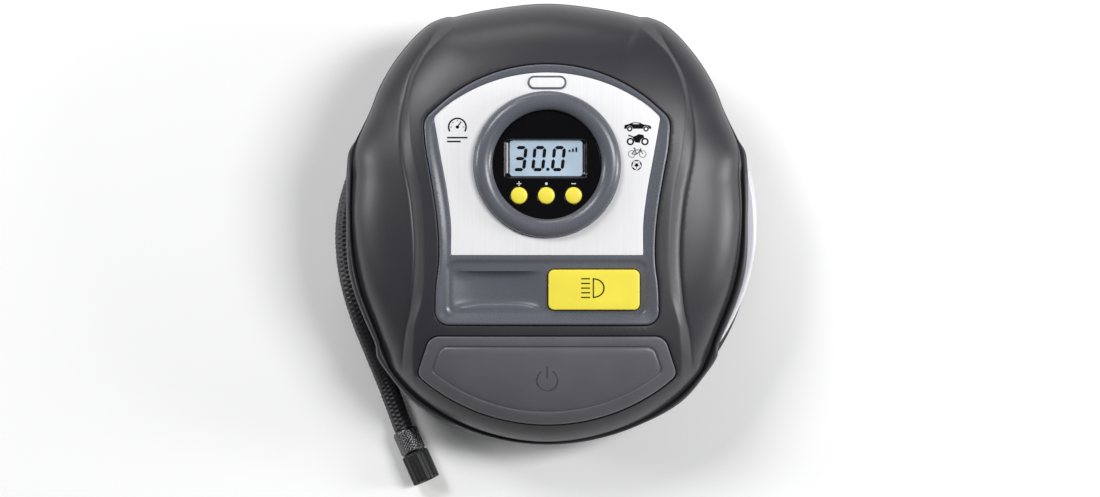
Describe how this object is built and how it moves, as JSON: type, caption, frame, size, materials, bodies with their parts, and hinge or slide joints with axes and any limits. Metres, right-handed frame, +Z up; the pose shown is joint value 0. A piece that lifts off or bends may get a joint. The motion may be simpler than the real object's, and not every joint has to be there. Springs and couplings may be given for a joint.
{
  "type": "portable tire inflator",
  "caption": "Domed portable 12 V tire inflator with digital pressure display, push buttons, side work light and a braided air hose wrapped round its base.",
  "frame": {"origin": "on the floor, under the middle of the housing", "axes": "+Z up; +Y towards the back, away from the power button; +X to the right, the light's side"},
  "size_m": [0.1913, 0.2153, 0.083],
  "materials": {
    "shell_grey": "satin fine grain",
    "tray_black": "matte fine grain",
    "frame_grey": "satin",
    "button_grey": "satin fine grain",
    "brushed_silver": "brushed",
    "window_black": "glossy",
    "lcd_blue": "glossy",
    "button_yellow": "semi-gloss",
    "lens_white": "translucent white",
    "rubber_black": "matte",
    "steel": "machined",
    "aluminium": "die cast",
    "brass": "machined",
    "chrome": "polished",
    "plastic_black": "moulded",
    "board_green": "solder mask",
    "magnet": "sintered ferrite",
    "copper": "wound wire",
    "nylon_white": "natural nylon",
    "hose_braid": "braided"
  },
  "bodies": {
    "housing": {"top_shell": "shell_grey", "base_tray": "tray_black", "rubber_foot_1": "rubber_black", "rubber_foot_2": "rubber_black", "rubber_foot_3": "rubber_black", "rubber_foot_4": "rubber_black", "housing_screw_1": "steel", "housing_screw_2": "steel", "housing_screw_3": "steel", "housing_screw_4": "steel", "light_lens": "lens_white", "led_board": "board_green", "control_frame": "frame_grey", "silver_plate": "brushed_silver", "display_ring": "frame_grey", "display_window": "window_black", "lcd_module": "lcd_blue", "tact_switch_plus": "plastic_black", "tact_switch_mode": "plastic_black", "tact_switch_minus": "plastic_black", "light_switch": "plastic_black", "power_switch": "plastic_black", "main_board": "board_green", "pressure_sensor": "plastic_black", "motor_can": "steel", "motor_end_cap": "plastic_black", "motor_magnet_1": "magnet", "motor_magnet_2": "magnet", "compressor_bracket": "aluminium", "rubber_mount_1": "rubber_black", "rubber_mount_2": "rubber_black", "rubber_mount_3": "rubber_black", "crank_bearing": "brass", "cylinder": "aluminium", "valve_plate": "steel", "cylinder_head": "aluminium", "air_tube": "nylon_white", "air_hose": "hose_braid", "hose_gland": "plastic_black", "hose_ferrule": "chrome", "valve_pin": "brass", "lead_gland": "plastic_black"},
    "plus_key": {"button_plus": "button_yellow"},
    "mode_key": {"button_mode": "button_yellow"},
    "minus_key": {"button_minus": "button_yellow"},
    "light_key": {"light_button": "button_yellow"},
    "power_key": {"power_button": "button_grey"},
    "motor_rotor": {"motor_armature": "copper", "motor_shaft": "steel", "drive_pinion": "brass", "cooling_fan": "plastic_black"},
    "crank": {"crank_gear": "nylon_white", "crank_axle": "steel", "crank_pin": "steel"},
    "piston": {"piston_rod": "aluminium", "piston_seal": "rubber_black"},
    "connector": {"valve_connector": "chrome", "thread_insert": "brass"}
  },
  "joints": [
    {"name": "plus_press", "type": "slide", "parent": "housing", "child": "plus_key", "axis": [0, 0.1219, -0.9925], "range_m": [0, 0.0008], "stiffness_N_per_m": 800, "springref_m": -0.001},
    {"name": "mode_press", "type": "slide", "parent": "housing", "child": "mode_key", "axis": [0, 0.1219, -0.9925], "range_m": [0, 0.0008], "stiffness_N_per_m": 800, "springref_m": -0.001},
    {"name": "minus_press", "type": "slide", "parent": "housing", "child": "minus_key", "axis": [0, 0.1219, -0.9925], "range_m": [0, 0.0008], "stiffness_N_per_m": 800, "springref_m": -0.001},
    {"name": "light_press", "type": "slide", "parent": "housing", "child": "light_key", "axis": [0, 0.1219, -0.9925], "range_m": [0, 0.0018], "stiffness_N_per_m": 600, "springref_m": -0.001},
    {"name": "power_press", "type": "slide", "parent": "housing", "child": "power_key", "axis": [0, 0.1219, -0.9925], "range_m": [0, 0.002], "stiffness_N_per_m": 900, "springref_m": -0.001},
    {"name": "motor_spin", "type": "hinge", "parent": "housing", "child": "motor_rotor", "pos_m": [-0.03, 0, 0.034], "axis": [0, 1, 0], "continuous": true},
    {"name": "crank_spin", "type": "hinge", "parent": "housing", "child": "crank", "pos_m": [-0.005, 0, 0.034], "axis": [0, 1, 0], "continuous": true},
    {"name": "piston_slide", "type": "slide", "parent": "housing", "child": "piston", "axis": [1, 0, 0], "range_m": [-0.011, 0]},
    {"name": "connector_spin", "type": "hinge", "parent": "housing", "child": "connector", "pos_m": [-0.0655, -0.091, 0.0063], "axis": [0.4147, -0.91, 0], "continuous": true}
  ],
  "couplings": [
    {"joint": "crank_spin", "follows": "motor_spin", "ratio": -0.25}
  ]
}
